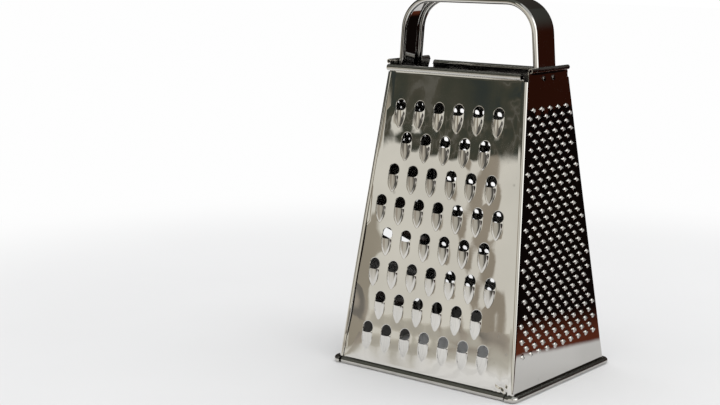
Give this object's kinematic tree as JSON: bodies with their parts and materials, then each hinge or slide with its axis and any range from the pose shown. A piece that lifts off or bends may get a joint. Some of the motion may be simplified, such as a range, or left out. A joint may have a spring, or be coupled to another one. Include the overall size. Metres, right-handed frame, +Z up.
{
  "type": "box grater",
  "caption": "Tapered four-sided box grater in polished sheet steel, with coarse, medium, rasp and slicing faces, rolled rims and a riveted strap handle over the open top.",
  "frame": {"origin": "middle of the footprint, on the worktop", "axes": "+Z up, -Y out of the coarse front face, +X out of the rasp face"},
  "size_m": [0.115, 0.0932, 0.191],
  "materials": {
    "panel_steel": "mirror-polished stainless sheet, slightly wavy",
    "handle_steel": "mirror-polished stainless strap",
    "rivet_steel": "satin"
  },
  "bodies": {
    "root": {"front_panel": "panel_steel", "right_panel": "panel_steel", "back_panel": "panel_steel", "left_panel": "panel_steel", "handle": "handle_steel", "handle_rivet_right_front": "rivet_steel", "handle_rivet_right_back": "rivet_steel", "handle_rivet_left_front": "rivet_steel", "handle_rivet_left_back": "rivet_steel"}
  },
  "joints": []
}
